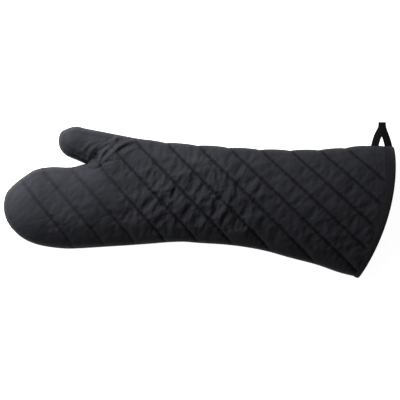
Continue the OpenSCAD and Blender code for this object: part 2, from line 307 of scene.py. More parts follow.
def quilting_rows(ring, step):
    """Each quilting line as points in plan, ending just short of the seam and the binding."""
    rows = []
    for k in range(LINES):
        y = np.arange(-124, 115, 0.25)
        x = line_x(k, y)
        keep = inside(np.stack([x, y], axis=1), ring)
        keep &= rib_of(x, y) < BINDING_EDGE + 4
        points = np.stack([x, y], axis=1)[keep]
        breaks = np.where(np.diff(y[keep]) > 0.3)[0] + 1
        for part in np.split(points, breaks):
            if len(part) > 60:
                rows.append(spaced(part[8:-8], step))
    return rows


def hex_points(low, high, step):
    """Points of a triangle grid over a box in plan."""
    across, along = np.arange(low[1], high[1], step * math.sqrt(3) / 2), np.arange(low[0], high[0], step)
    return np.array([(x + (j % 2) * step / 2, y) for j, y in enumerate(across) for x in along])


def off_gather(points):
    """Distance from the gathers at the thumb's root, as a share of their size."""
    return np.linalg.norm((points - GATHER) / GATHER_SIZE, axis=1)


def cut_cloth():
    """Plan points and triangles of a panel, with the seam, quilting lines and thumb's fold line as edges."""
    ring, seam_count = outline()
    points, edges = [*ring], [(i, (i + 1) % len(ring)) for i in range(len(ring))]
    ends = np.array([(TIP_X + CROTCH[0], CROTCH[1]), (TIP_X + THUMB_TOP[0], THUMB_TOP[1])])
    fold = spaced(ends, STEP)[1:-1]
    crotch, thumb_top = nearest(ends, ring)[1].tolist()
    chain = [crotch, *range(len(ring), len(ring) + len(fold)), thumb_top]
    points += [*fold]
    edges += list(zip(chain, chain[1:]))
    for row in quilting_rows(ring, STEP):
        start = len(points)
        points += [*row]
        edges += [(start + i, start + i + 1) for i in range(len(row) - 1)]
    fixed = np.array(points)
    low, high = ring.min(axis=0), ring.max(axis=0)
    hexes = hex_points(low, high, STEP)
    fine = hex_points(low, high, STEP / 2)
    hexes = np.vstack([hexes[off_gather(hexes) >= 1], fine[off_gather(fine) < 1]])
    hexes = hexes[inside(hexes, ring)]
    # points crowd towards the seam
    gap, which = nearest(hexes, ring[:seam_count])
    s = np.clip(gap / STEEP_REACH, 1e-6, 1)
    hexes = ring[which] + (hexes - ring[which]) * ((2 * s**2 - s**3) / s)[:, None]
    gap = nearest(hexes, fixed)[0]
    room = np.clip(0.3 + 0.13 * nearest(hexes, ring[:seam_count])[0], 0.5, 0.6 * STEP)
    hexes = hexes[gap > np.where(off_gather(hexes) < 1, 0.6, 1) * room]
    points = np.vstack([fixed, hexes])
    made = geometry.delaunay_2d_cdt(
        [Vector(p) for p in points], edges, [list(range(len(ring)))], 1, 1e-4, True
    )
    plan = np.array([tuple(v) for v in made[0]])
    triangles = np.array([list(f) for f in made[2]])
    triangles = triangles[inside(plan[triangles].mean(axis=1), ring)]
    seam = np.array([any(i < seam_count for i in ids) for ids in made[3]])
    return plan, triangles, seam, ring[:seam_count]


PLAN, TRIANGLES, ON_SEAM, SEAM = cut_cloth()
IN_THUMB = on_thumb(*PLAN[TRIANGLES].mean(axis=1).T)


# ---------------------------------------------------------------- how the cloth lies
def smooth_noise(x, y, size, seed, layers=3):
    """Sines of about one size in many directions, from about -1 to 1."""
    dice = np.random.default_rng(seed)
    total = np.zeros_like(np.asarray(x, float))
    for layer in range(layers):
        for _ in range(6):
            angle, phase = dice.uniform(0, 2 * np.pi, 2)
            wave = 2 * np.pi / (size / 1.8**layer * dice.uniform(0.75, 1.3))
            total += np.sin(wave * (x * np.cos(angle) + y * np.sin(angle)) + phase) / 1.7**layer
    return total / (6 * sum(1 / 1.7 ** (2 * i) for i in range(layers)) / 2) ** 0.5 / 1.8


def streaks(x, y, size, angle, stretch, seed):
    """Noise drawn out along a direction, as gathered cloth wrinkles."""
    u = x * math.cos(angle) + y * math.sin(angle)
    v = -x * math.sin(angle) + y * math.cos(angle)
    bend = 0.5 * size * smooth_noise(x, y, 9 * size, seed + 1, 1)
    return smooth_noise(u / stretch, v + bend, size, seed, 2)


def gathered(x, y):
    """How much the cloth is gathered: little on the hand, most at the wrist, and some towards the cuff."""
    d = x - TIP_X
    wrist = ramp(d, 165, 250) * (1 - 0.9 * ramp(d, 345, 425))
    share = 0.03 + 0.97 * wrist * (1 - 0.5 * ramp(y, 25, 75)) * (1 - 0.5 * ramp(-y, 45, 75))
    share = np.where(on_thumb(x, y), 0.05, share)
    return share * (1 - ramp(d, BINDING_EDGE - 25, BINDING_EDGE - 4))


def relief_share(x, y):
    """How deep the quilting is: it dies away under the binding, on the thumb and in its gathers."""
    share = 1 - ramp(rib_of(x, y), BINDING_EDGE - 2, BINDING_EDGE + 2)
    share = share * (0.8 + 0.2 * ramp(x - TIP_X, 60, 190) - 0.15 * ramp(x - TIP_X, 380, 480))
    gathers_here = np.maximum(0, 1 - off_gather(np.stack([x, y], axis=1))) ** 0.5
    return share * (1 - 0.75 * np.where(on_thumb(x, y), 1, gathers_here))


def channel(x, y):
    """0 on a quilting line, rounding up to 1 half way between two lines."""
    k = line_number(x, y)
    t = 2 * np.abs(k - np.round(k))
    t = np.where((k < -0.5) | (k > LINES - 0.5), 1, t)
    return np.sqrt(np.maximum(0, 1 - (1 - t) ** 2.4))


def on_stitches(x, y, least):
    """True on a quilting line, where its relief is over a share of the full depth."""
    k = line_number(x, y)
    return (np.abs(k - np.round(k)) * PITCH < 0.3) & (relief_share(x, y) > least)


def squeezed(d):
    """The plies are pressed together under the binding."""
    return 1 - (1 - CUFF_SQUEEZE) * ramp(d, SQUEEZE_START, BINDING_EDGE)


def lifted(plan, depth, front):
    """Plan points on the face of a ply, at a depth under the outer face."""
    x, y = plan[:, 0], plan[:, 1]
    d = rib_of(x, y)
    return np.stack([x, y, side_z(d, y, depth * squeezed(d), front)], axis=1)


def normals_of(points, faces):
    """Each point's normal, from the triangles round it."""
    a, b, c = (points[faces[:, i]] for i in range(3))
    face = np.cross(b - a, c - a)
    total = np.zeros_like(points)
    for i in range(3):
        np.add.at(total, faces[:, i], face)
    return unit(total)


class Cloth:
    """The outer cloth: points in mm, triangles, and what each was in the flat plan."""

    def __init__(self, points, faces, plan, side, face_front, face_thumb):
        self.points, self.faces, self.plan, self.side = points, faces, plan, side
        self.face_front, self.face_thumb = face_front, face_thumb

    def normals(self):
        return normals_of(self.points, self.faces)


def closed_cloth():
    """The front and back panels joined along the side seam, open at the cuff.

    side is 1 on the front, 0 on the back and 0.5 on the seam."""
    front, back = lifted(PLAN, 0, True), lifted(PLAN, 0, False)
    front[ON_SEAM, 2] = SEAM_Z
    count, others = len(PLAN), np.where(~ON_SEAM)[0]
    index = np.arange(count)
    index[others] = count + np.arange(len(others))
    side = np.concatenate([np.where(ON_SEAM, 0.5, 1.0), np.zeros(len(others))])
    faces = np.vstack([TRIANGLES, index[TRIANGLES][:, ::-1]])
    is_front = np.repeat([True, False], len(TRIANGLES))
    plan = np.vstack([PLAN, PLAN[others]])
    return Cloth(np.vstack([front, back[others]]), faces, plan, side, is_front, np.tile(IN_THUMB, 2))


def seam_share(plan, reach):
    """0 at the side seam and 1 a little way in, for what dies away at the seam."""
    return ramp(nearest(plan, SEAM)[0], 0, reach)


def pull_down(cloth):
    """Pulls the cloth down to its quilting lines, before it swells, with the first hint of its gathers."""
    x, y = cloth.plan.T
    deep = GROOVE * relief_share(x, y) * (0.35 + 0.65 * seam_share(cloth.plan, 20))
    rough = 0.85 * streaks(x, y, 17, math.radians(71), 2.2, 11) * gathered(x, y)
    down = 0.25 + deep * (1 - channel(x, y)) - rough * channel(x, y)
    down *= 1 - ramp(rib_of(x, y), BINDING_EDGE - 2, BINDING_EDGE + 2)
    down = np.where(cloth.side == 0.5, 0, down)
    cloth.points = cloth.points - cloth.normals() * down[:, None]


# ---------------------------------------------------------------- the cloth simulation
GROWTH, PRESSURE, SIM_FRAMES = -0.028, 4.5, 20
CAP = 6.5                                         # no point moves further than this
TIGHT_STEPS = 20                                  # steps from cloth with the most to spare to tight cloth


def points_of(obj):
    """Points of an object after its modifiers, in millimetres."""
    seen = obj.evaluated_get(bpy.context.evaluated_depsgraph_get())
    co = np.empty(len(seen.data.vertices) * 3, np.float32)
    seen.data.vertices.foreach_get("co", co)
    return co.reshape(-1, 3).astype(float) / MM


def in_scene(name, data):
    """An object with some data, linked to the scene."""
    made = bpy.data.objects.new(name, data)
    bpy.context.scene.collection.objects.link(made)
    return made


def mesh_of(name, points, faces):
    """A smooth mesh object from points in millimetres."""
    mesh = bpy.data.meshes.new(name)
    points, faces = np.asarray(points, float), [list(map(int, f)) for f in faces]
    mesh.from_pydata((points * MM).tolist(), [], faces)
    mesh.polygons.foreach_set("use_smooth", np.ones(len(mesh.polygons), bool))
    mesh.update()
    return in_scene(name, mesh)


def swell(cloth):
    """Blows the cloth out by a cloth simulation. It is held at the seam, the stitches and the cuff."""
    x, y = cloth.plan.T
    obj = mesh_of("swelling", cloth.points, cloth.faces)
    held = on_stitches(x, y, 0.45) | (cloth.side == 0.5) | (rib_of(x, y) > BINDING_EDGE - 3)
    obj.vertex_groups.new(name="held").add(np.where(held)[0].tolist(), 1.0, "REPLACE")
    tight = obj.vertex_groups.new(name="tight")
    share = np.round(TIGHT_STEPS * (1 - gathered(x, y)))
    for step in range(TIGHT_STEPS + 1):
        tight.add(np.where(share == step)[0].tolist(), step / TIGHT_STEPS, "REPLACE")
    modifier = obj.modifiers.new("Cloth", "CLOTH")
    s = modifier.settings
    s.quality, s.mass = 5, 0.3
    s.tension_stiffness = s.compression_stiffness = 15
    s.shear_stiffness, s.bending_stiffness = 5, 3.0
    s.vertex_group_mass = "held"
    s.vertex_group_shrink, s.shrink_min, s.shrink_max = "tight", GROWTH, -0.004
    s.use_pressure, s.uniform_pressure_force = True, PRESSURE
    s.effector_weights.gravity = 0
    modifier.collision_settings.use_collision = False
    modifier.point_cache.frame_end = SIM_FRAMES
    for number in range(1, SIM_FRAMES + 1):
        bpy.context.scene.frame_set(number)
    moved = points_of(obj) - cloth.points
    bpy.context.scene.frame_set(1)
    bpy.data.objects.remove(obj)
    size = np.linalg.norm(moved, axis=1)
    cloth.points = cloth.points + moved * (np.tanh(size / CAP) * CAP / np.maximum(size, 1e-9))[:, None]


def divide(cloth):
    """One Loop subdivision. The seam and the quilting lines stay sharp."""
    faces, points, plan = cloth.faces, cloth.points, cloth.plan
    pairs = np.sort(np.stack([faces, np.roll(faces, -1, axis=1)], axis=2).reshape(-1, 2), axis=1)
    edges, which, uses = np.unique(pairs, axis=0, return_inverse=True, return_counts=True)
    which = which.reshape(-1)
    across = np.zeros((len(edges), 3))
    np.add.at(across, which, points[np.roll(faces, 1, axis=1).reshape(-1)])
    a, b = edges.T
    row, on_line = np.round(line_number(*plan.T)), on_stitches(*plan.T, 0.3)
    sharp = (uses == 1) | ((cloth.side[a] == 0.5) & (cloth.side[b] == 0.5))
    sharp |= on_line[a] & on_line[b] & (row[a] == row[b])
    middle = (points[a] + points[b]) / 2
    middle = np.where(sharp[:, None], middle, 0.75 * middle + across / 8)
    count, total = np.zeros(len(points)), np.zeros_like(points)
    crease, along = np.zeros(len(points)), np.zeros_like(points)
    for one, other in ((a, b), (b, a)):
        np.add.at(count, one, 1)
        np.add.at(total, one, points[other])
        np.add.at(crease, one[sharp], 1)
        np.add.at(along, one[sharp], points[other[sharp]])
    beta = np.where(count == 3, 3 / 16, 3 / (8 * np.maximum(count, 1)))[:, None]
    smooth = points * (1 - count[:, None] * beta) + beta * total
    smooth = np.where(crease[:, None] == 2, 0.75 * points + along / 8, smooth)
    smooth = np.where(crease[:, None] > 2, points, smooth)
    new = (which + len(points)).reshape(-1, 3)
    corners = np.stack([faces, new, np.roll(new, 1, axis=1)], axis=2)
    cloth.faces = np.concatenate([corners, new[:, None]], axis=1).reshape(-1, 3)
    cloth.points = np.vstack([smooth, middle])
    cloth.plan = np.vstack([plan, (plan[a] + plan[b]) / 2])
    sides = cloth.side[a] + cloth.side[b]
    middle_side = np.where(sides == 1, 0.5, np.where(sides > 1, 1.0, 0.0))
    cloth.side = np.concatenate([cloth.side, middle_side])
    cloth.face_front = np.repeat(cloth.face_front, 4)
    cloth.face_thumb = np.repeat(cloth.face_thumb, 4)


# ---------------------------------------------------------------- creases and gathers worked into the cloth
# each fold: its height in mm, its half width, and its run in plan as (x, y) from the middle of the gathers
FOLDS = [
    (1.1, 3.0, [
        (-27, -24), (-25.6, -14.6), (-22.2, -8.4), (-18.6, -2.2), (-13.2, 3.2), (-6, 11.8), (3.2, 21.1),
    ]),
    (-2.6, 3.6, [(-14, -20), (-12.5, -13), (-10.5, -7)]),
    (1.7, 2.3, [(-10.7, -27.1), (-7.6, -19.3), (-4.4, -11.5), (-0.2, -5.3), (4.8, -0.6), (12, 4)]),
    (-1.6, 2.2, [(-3, -16.2), (1.8, -9.2), (7.4, -3.1)]),
    (1.7, 2.8, [(-3, -22.4), (3.2, -14.6), (10, -9.7), (17.2, -2.2), (24.2, 3.2), (37.6, 8.7), (53, 14.1)]),
    (-2.0, 2.6, [(9.6, -0.6), (15.8, 5.6), (24.2, 13.4)]),
    (1.9, 2.8, [(-8, 1), (-1.4, 4), (8, 10.2), (18.8, 14.9), (28.2, 18.8)]),
    (-1.3, 2.6, [(22, -3.8), (32.8, 2.5), (43.8, 7.1)]),
    (1.0, 3.0, [(26.6, -12.3), (37.6, -4.5), (50, 2)]),
    (-1.5, 2.2, [(-0.2, -22.4), (6.4, -20.1), (12.6, -18.7)]),
    (-2.0, 1.9, [(-28.7, -26.5), (-24.7, -29.4), (-18.5, -31), (-12.3, -30.7), (-6, -27.9), (-1.4, -24)]),
    (-1.0, 2.4, [(-17, 2), (-10, 9), (-1, 17)]),
    (0.9, 2.6, [(-36, -8), (-30, -1), (-23, 6), (-14, 13)]),
]
# the strongest puckers of the sleeve and hand: x, y, length, slope in degrees, height, half width
PUCKERS = [
    (-83, 51, 26, 66, 1.5, 3.0), (-74, 44, 18, 70, -1.4, 2.4), (-44, 23, 30, 62, 1.6, 3.2),
    (-36, 15, 22, 60, -1.5, 2.6), (23, 3, 52, 68, 1.9, 3.4), (31, -6, 44, 66, -1.8, 2.8),
    (46, -4, 40, 64, 1.8, 3.2), (54, -14, 30, 62, -1.4, 2.6), (83, 18, 38, 58, 1.5, 3.4),
    (91, 10, 26, 60, -1.2, 2.8), (134, -16, 30, 62, 1.2, 3.4), (8, -34, 34, 66, 1.5, 3.0),
    (-2, -46, 24, 64, -1.2, 2.6), (70, -52, 32, 66, 1.3, 3.2), (-60, 4, 26, 66, 1.2, 3.0),
    (-14, 40, 28, 60, 1.2, 3.2), (30, 44, 30, 58, 1.1, 3.4), (112, -44, 30, 64, 1.1, 3.4),
    (62, 26, 24, 60, -1.1, 2.8), (100, 44, 26, 56, 0.9, 3.4), (-26, -18, 26, 68, 1.3, 3.0),
    (-255, 22, 18, 76, -1.3, 2.2), (-260, 9, 34, -53, -0.8, 2.4), (-194, 42, 16, 62, -1.2, 2.4),
    (-161, 4, 22, 98, -1.1, 2.2), (-206, 12, 24, 48, 0.8, 3.2), (-228, -14, 26, 60, -0.7, 3.0),
]


def ridge(x, y, run, width):
    """1 along a run of plan points, dying away beside it and at its ends."""
    start = run_of(run)
    lengths = np.diff(start)
    best, where = np.full(x.shape, np.inf), np.zeros(x.shape)
    for i, size in enumerate(lengths):
        step = (run[i + 1] - run[i]) / size
        t = np.clip((x - run[i][0]) * step[0] + (y - run[i][1]) * step[1], 0, size)
        gap = np.hypot(x - run[i][0] - t * step[0], y - run[i][1] - t * step[1])
        closer = gap < best
        best, where = np.where(closer, gap, best), np.where(closer, start[i] + t, where)
    ends = ramp(where, 0, 0.3 * start[-1]) * (1 - ramp(where, 0.7 * start[-1], start[-1]))
    return np.exp(-((best / width) ** 2)) * (0.25 + 0.75 * ends)


def add_ridge(field, x, y, run, width, height):
    """Adds a ridge to a field, touching only the points near it."""
    run = np.asarray(run, float)
    low, high = run.min(axis=0) - 3 * width, run.max(axis=0) + 3 * width
    close = (x > low[0]) & (x < high[0]) & (y > low[1]) & (y < high[1])
    field[close] += height * ridge(x[close], y[close], run, width)


def pucker_run(x, y, length, slope, bend):
    """A slightly bent run of plan points through (x, y)."""
    c, s = math.cos(math.radians(slope)), math.sin(math.radians(slope))
    t = np.linspace(-0.5, 0.5, 6) * length
    off = bend * (1 - (2 * t / length) ** 2)
    return np.stack([x + t * c - off * s, y + t * s + off * c], axis=1)


def gathers(x, y, dice, count, size):
    """Many short puckers, thickest where the cloth is gathered. They run across the quilting lines."""
    field, made = np.zeros_like(x), 0
    while made < count:
        px, py = dice.uniform(TIP_X, TIP_X + BINDING_EDGE - 10), dice.uniform(-118, 110)
        thick, chance = float(gathered(px, py)), dice.uniform()
        if on_thumb(px, py) or chance > thick:
            continue
        length, slope = dice.uniform(9, 30) * size, dice.normal(70, 9)
        run = pucker_run(px, py, length, slope, dice.normal(0, 0.08) * length)
        height = dice.uniform(0.35, 1.0) * size * (1 if dice.uniform() < 0.55 else -0.9)
        add_ridge(field, x, y, run, dice.uniform(1.9, 3.1) * size, height)
        made += 1
    return field


def stitch_puckers(x, y, seed):
    """Small puckers that run off both sides of each quilting line, as tight stitching makes them."""
    k = line_number(x, y)
    row = np.round(k)
    run = y * 1.35 + 37 * row
    wave = smooth_noise(run, 31 * row + np.sign(k - row) * 5, 12, seed, 2)
    off = np.abs(k - row) * LINE_GAP
    return wave * np.exp(-off / 7.0) * ramp(off, 0, 1.5)


def off_line(x, y):
    """Distance from the nearest quilting line, across it."""
    k = line_number(x, y)
    return np.where((k < -0.5) | (k > LINES - 0.5), 99, np.abs(k - np.round(k)) * LINE_GAP)


def work(cloth):
    """Creases, gathers, the pressed seam and the flat underside, on the divided cloth."""
    x, y = cloth.plan.T
    front = cloth.side > 0.25
    height = np.zeros_like(x)
    for seed, count, side in ((24, 130, front), (57, 115, ~front)):
        height += 0.37 * gathers(x, y, np.random.default_rng(seed), count, 1.35) * side
    for px, py, length, slope, tall, width in PUCKERS:
        add_ridge(height, x, y, pucker_run(px, py, length, slope, 0.04 * length), 1.1 * width, 0.6 * tall)
    height *= (0.25 + 0.75 * channel(x, y)) * (1 - 0.4 * ramp(x - TIP_X, 370, 470))
    height += stitch_puckers(x, y, 5) * (0.1 + 0.2 * gathered(x, y)) * relief_share(x, y)
    crotch = np.zeros_like(x)
    for tall, width, run in FOLDS:
        add_ridge(crotch, x, y, GATHER + run, width, tall)
    height += crotch * np.where(front, 1, 0.45)
    height += 0.35 * smooth_noise(x, y, 46, 8, 2) + 0.2 * smooth_noise(x, y, 13, 9, 2)
    gap = nearest(cloth.plan, SEAM)[0]
    d = rib_of(x, y)
    under = ramp(d, BINDING_EDGE - 10, BINDING_EDGE - 1)
    tips = 1 - 0.65 * ramp(x - TIP_X, 120, 200)
    height *= ramp(gap, 1, 8) * (1 - under)
    height -= 1.2 * np.exp(-((off_line(x, y) / 1.6) ** 2)) * relief_share(x, y) * ramp(gap, 1, 8)
    bulge = 1.4 * np.exp(-((gap / 7) ** 2)) * (1 - 0.5 * ramp(x - TIP_X, 180, 260))
    allowance = 0.55 * np.exp(-(((gap - 6) / 1.7) ** 2)) - 0.35 * np.exp(-(((gap - 9.5) / 2) ** 2))
    crease = 0.9 * np.exp(-((gap / 1.5) ** 2))
    height += (bulge + allowance * tips - crease) * (1 - under)
    points = cloth.points + cloth.normals() * height[:, None]
    points[:, 2] = settled(points[:, 2])
    cloth.points = points


def painted_shade_mask(cloth):
    """1 down in the quilting lines, the fold valleys, the seam and the binding's edge: where shade is painted
    into the colour.
    """
    x, y = cloth.plan.T
    sleeve = ramp(x - TIP_X, 150, 230)
    share = np.exp(-((off_line(x, y) / (1.6 + 0.5 * sleeve)) ** 2))
    share *= np.clip(1.15 * relief_share(x - 3, y), 0, 1)
    gap = nearest(cloth.plan, SEAM)[0]
    share *= 0.66 + 0.34 * sleeve
    share *= 1 - 0.55 * (1 - sleeve) * (1 - ramp(gap, 5, 26))
    share += 0.45 * np.exp(-((gap / 1.6) ** 2))
    share += 0.8 * np.exp(-(((rib_of(x, y) - BINDING_EDGE + 0.6) / 1.5) ** 2))
    folds = np.zeros_like(x)
    for tall, width, run in FOLDS:
        if tall < 0:
            add_ridge(folds, x, y, GATHER + run, 0.7 * width, 0.35)
    return np.clip(share + folds * (cloth.side > 0.25), 0, 1)


def settled(z):
    """Heights with the lowest cloth pressed flat on the table."""
    return 0.2 + np.logaddexp(0, 1.6 * (z - 0.2)) / 1.6


def make_cloth():
    """The finished outer cloth."""
    cloth = closed_cloth()
    pull_down(cloth)
    swell(cloth)
    divide(cloth)
    work(cloth)
    return cloth


CLOTH = make_cloth()


def finish_piece(obj, body, replaced, material):
    """Gives a piece its material, hides the nodes it stands for, and parents it to its body's empty; thumb and
    loop pieces only have their transform baked.
    """
    obj.data.materials.append(material)
    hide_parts(*replaced)
    if body == "thumb":
        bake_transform(obj)
    elif body == "loop":
        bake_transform(obj)
    else:
        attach(obj, body)
    return obj


def set_place(obj, places):
    """Says where each point is on the flat cloth, in millimetres, for the weave."""
    made = obj.data.attributes.new("cloth_place", "FLOAT_VECTOR", "POINT")
    made.data.foreach_set("vector", (places * MM).astype(np.float32).reshape(-1))


def set_shade(obj, name, values):
    """Gives each point a number for a material to read."""
    obj.data.attributes.new(name, "FLOAT", "POINT").data.foreach_set("value", values.astype(np.float32))


def slab(name, top, top_normals, bottom, faces, cloth_at, shades=None):
    """A closed piece from a top face, a bottom face with the same triangles, and walls round their edge."""
    used, small = np.unique(faces, return_inverse=True)
    small = small.reshape(-1, 3)
    top, bottom, normals = top[used], bottom[used], top_normals[used]
    n = len(used)
    directed = np.stack([small, np.roll(small, -1, axis=1)], axis=2).reshape(-1, 2)
    key, back = directed[:, 0] * n + directed[:, 1], directed[:, 1] * n + directed[:, 0]
    rim = directed[~np.isin(key, back)]
    walls = np.stack([rim[:, 1], rim[:, 0], rim[:, 0] + n, rim[:, 1] + n], axis=1)
    points = np.vstack([top, bottom])
    shapes = [*small.tolist(), *(small[:, ::-1] + n).tolist(), *walls.tolist()]
    obj = mesh_of(name, points, shapes)
    a, b, c = (points[walls[:, i]] for i in range(3))
    wall_normals = unit(np.cross(b - a, c - a))
    corner = np.vstack([
        normals[small.reshape(-1)], -normals[small[:, ::-1].reshape(-1)], np.repeat(wall_normals, 4, axis=0)
    ])
    obj.data.normals_split_custom_set(corner.tolist())
    set_place(obj, np.tile(cloth_at[used], (2, 1)))
    for shade, values in (shades or {}).items():
        set_shade(obj, shade, np.tile(values[used], 2))
    return obj


def along_cloth(cloth):
    """Where each point is on the flat cloth: the plan, with the steep sides of each panel laid flat."""
    steep = np.maximum(0, 14 - nearest(cloth.plan, SEAM)[0])
    across = cloth.plan[:, 1] + np.sign(cloth.plan[:, 1] - 5) * steep * 0.6
    return np.stack([cloth.plan[:, 0], across, np.where(cloth.side < 0.25, 500.0, 0)], axis=1)


def shell_piece(name, front, thumb):
    """The outer cloth of one panel, of the thumb or of the rest."""
    chosen = CLOTH.faces[(CLOTH.face_front == front) & (CLOTH.face_thumb == thumb)]
    return slab(name, CLOTH.points, NORMALS, CLOTH.points - NORMALS * SHELL_IN, chosen, CLOTH_PLACE, SHADES)


NORMALS = CLOTH.normals()
CLOTH_PLACE = along_cloth(CLOTH)
SHADES = {
    # painted shade in the cloth's grooves and folds, then how gathered the cloth is for the crinkle bump
    "painted_shade": painted_shade_mask(CLOTH),
    "cloth_gather": gathered(*CLOTH.plan.T) + 0.6 * np.clip(1 - off_gather(CLOTH.plan), 0, 1),
}


def flat_tree(front):
    """One panel's triangles, and a tree that finds them from plan points."""
    chosen = CLOTH.faces[CLOTH.face_front == front]
    flat = np.column_stack([CLOTH.plan, np.zeros(len(CLOTH.plan))])
    return chosen, BVHTree.FromPolygons(flat.tolist(), chosen.tolist())


FLAT = {front: flat_tree(front) for front in (True, False)}


def on_cloth(xy, front, above=0.0):
    """The points and normals of the finished cloth over plan points."""
    faces, tree = FLAT[front]
    places, normals = [], []
    for x, y in xy:
        _, _, index, _ = tree.find_nearest(Vector((x, y, 0)))
        ids = faces[index]
        (ax, ay), (bx, by), (cx, cy) = CLOTH.plan[ids]
        area = (bx - ax) * (cy - ay) - (cx - ax) * (by - ay)
        v = ((x - ax) * (cy - ay) - (cx - ax) * (y - ay)) / area
        w = ((bx - ax) * (y - ay) - (x - ax) * (by - ay)) / area
        share = np.clip(np.array([1 - v - w, v, w]), -0.2, 1.2)
        normal = share @ NORMALS[ids]
        normals.append(normal / np.linalg.norm(normal))
        places.append(share @ CLOTH.points[ids])
    places, normals = np.array(places), np.array(normals)
    return places + normals * above, normals


def inset_plan():
    """Each plan point's distance from the seam, and the way in from it."""
    gap, which = nearest(PLAN, SEAM)
    direction = PLAN - SEAM[which]
    direction = direction / np.maximum(gap, 1e-9)[:, None]
    tangent = np.gradient(SEAM, axis=0)
    inward = unit(np.stack([tangent[:, 1], -tangent[:, 0]], axis=1))
    if np.sum((PLAN - SEAM[which]) * inward[which]) < 0:
        inward = -inward
    direction[ON_SEAM] = inward[which[ON_SEAM]]
    return gap, direction


BORDER = 26                                       # inner plies are drawn in from the seam over this border
GAP, INWARD = inset_plan()


def ply_face(depth, at_lines, clear, front):
    """A face of an inner ply, depth under the outer face in the channels and at_lines at the stitching.

    It is everywhere at least clear under the worked cloth."""
    x, y = PLAN.T
    in_line = (1 - channel(x, y)) * relief_share(x, y) * ramp(GAP, 2, 10)
    deep = depth + (at_lines - depth) * in_line
    fold = np.zeros_like(x)
    for tall, width, run in FOLDS:
        add_ridge(fold, x, y, GATHER + run, width * 1.3, min(tall, 0) * 0.9)
    deep = deep - fold * ramp(GAP, 2, 10) + 1.6 * ramp(1 - off_gather(PLAN), 0, 0.3)
    plan = PLAN + INWARD * (deep * squeezed(rib_of(x, y)) * np.maximum(0, 1 - GAP / BORDER))[:, None]
    height = lifted(plan, deep, front)
    height[ON_SEAM, 2] = SEAM_Z
    height[:, 2] = np.maximum(height[:, 2], SEAM_Z) if front else np.minimum(height[:, 2], SEAM_Z)
    shell, normals = on_cloth(height[:, :2], front)
    proud = np.sum((height - shell) * normals, axis=1) + clear
    return height - normals * (np.maximum(proud, 0) * (GAP > 0))[:, None]


def ply(name, front, thumb, outer, inner):
    """An inner ply between two faces, each given by the three depths of ply_face."""
    faces = TRIANGLES[IN_THUMB == thumb]
    top, bottom = ply_face(*outer, front), ply_face(*inner, front)
    top[ON_SEAM, 2] += 0.02 if front else -0.02
    if not front:
        faces = faces[:, ::-1]
    place = np.column_stack([PLAN, np.zeros(len(PLAN))])
    return slab(name, top, normals_of(top, faces), bottom, faces, place)


# ---------------------------------------------------------------- stitches
def tube(points, radii, up, sides=6):
    """Rings round a line of points, as a closed skin. radii shrinks to nearly nothing at rounded ends."""
    forward = unit(np.gradient(points, axis=0))
    side = unit(np.cross(forward, np.broadcast_to(up, points.shape)))
    over = np.cross(side, forward)
    angle = np.arange(sides) * 2 * np.pi / sides
    ring = side[:, None] * np.cos(angle)[:, None] + over[:, None] * np.sin(angle)[:, None]
    skin = (points[:, None] + ring * radii[:, None, None]).reshape(-1, 3)
    faces, last = [], (len(points) - 1) * sides
    for i in range(len(points) - 1):
        for j in range(sides):
            a, b = i * sides + j, i * sides + (j + 1) % sides
            faces.append([a, a + sides, b + sides, b])
    faces.append(list(range(sides)))
    faces.append([last + j for j in range(sides)][::-1])
    return skin, faces


def joined(parts):
    """Several skins as one."""
    points, faces, start = [], [], 0
    for skin, shapes in parts:
        points.append(skin)
        faces += [[i + start for i in face] for face in shapes]
        start += len(skin)
    return np.vstack(points), faces


THREAD_R, STITCH = 0.27, 3.0


def stitch(run, normals):
    """One stitch lying on the cloth: a short thread that dips into it at both ends."""
    t = np.linspace(-1, 1, 5)
    at, index = np.linspace(0, len(run) - 1, 5), np.arange(len(run))
    up = read_off(at, index, normals)
    line = read_off(at, index, run) + up * (0.1 - 0.3 * t[:, None] ** 4)
    return tube(line, THREAD_R * np.array([0.45, 0.95, 1, 0.95, 0.45]), up)


def stitches_along(places, normals, start, gap):
    """Stitches on a run of points, a gap apart."""
    run, parts = run_of(places), []
    while start + STITCH < run[-1]:
        at = np.linspace(start, start + STITCH, 4)
        parts.append(stitch(read_off(at, run, places), read_off(at, run, normals)))
        start += STITCH + gap
    return parts


def quilting_stitches():
    """The quilting's stitches, sorted into front, back and thumb."""
    ring = outline()[0]
    stitches = {"front": [], "back": [], "thumb": []}
    for row in quilting_rows(ring, STEP):
        thumb = on_thumb(row[:, 0], row[:, 1])
        for is_thumb in (False, True):
            part = row[thumb == is_thumb]
            if len(part) < 4:
                continue
            for front in (True, False):
                name = "thumb" if is_thumb else "front" if front else "back"
                stitches[name] += stitches_along(*on_cloth(spaced(part, 0.65), front), 0.6, 0.9)
    return stitches


def thumb_seam_stitching():
    """A line of stitching round the thumb, just inside its seam."""
    line = edge(THUMB_UPPER, THUMB_TIP, THUMB_TOP[0], thumb_high_y, THUMB_TIP)[::-1]
    line = np.vstack([line, edge(THUMB_LOWER, THUMB_TIP, CROTCH[0], thumb_low_y, THUMB_TIP)[1:]])
    line = spaced(line, 1.2)
    turned = np.gradient(line, axis=0)
    turned = unit(np.stack([-turned[:, 1], turned[:, 0]], axis=1))
    if not inside(line[60:61] + turned[60:61] * 3, SEAM)[0]:
        turned = -turned
    line = spaced(line + turned * 2.2, 1.2)[3:-3]
    points = np.column_stack([line, SEAM_Z + 0.35 * np.sin(np.arange(len(line)) * 2.4)])
    return mesh_of("thumb_seam_stitching", *tube(points, np.full(len(points), 0.4), (0, 0, 1)))


# ---------------------------------------------------------------- the cuff's binding
WALL = LINING_IN * CUFF_SQUEEZE
STITCH_E = BINDING_W - 2.2                        # the topstitch runs this far from the mouth's edge


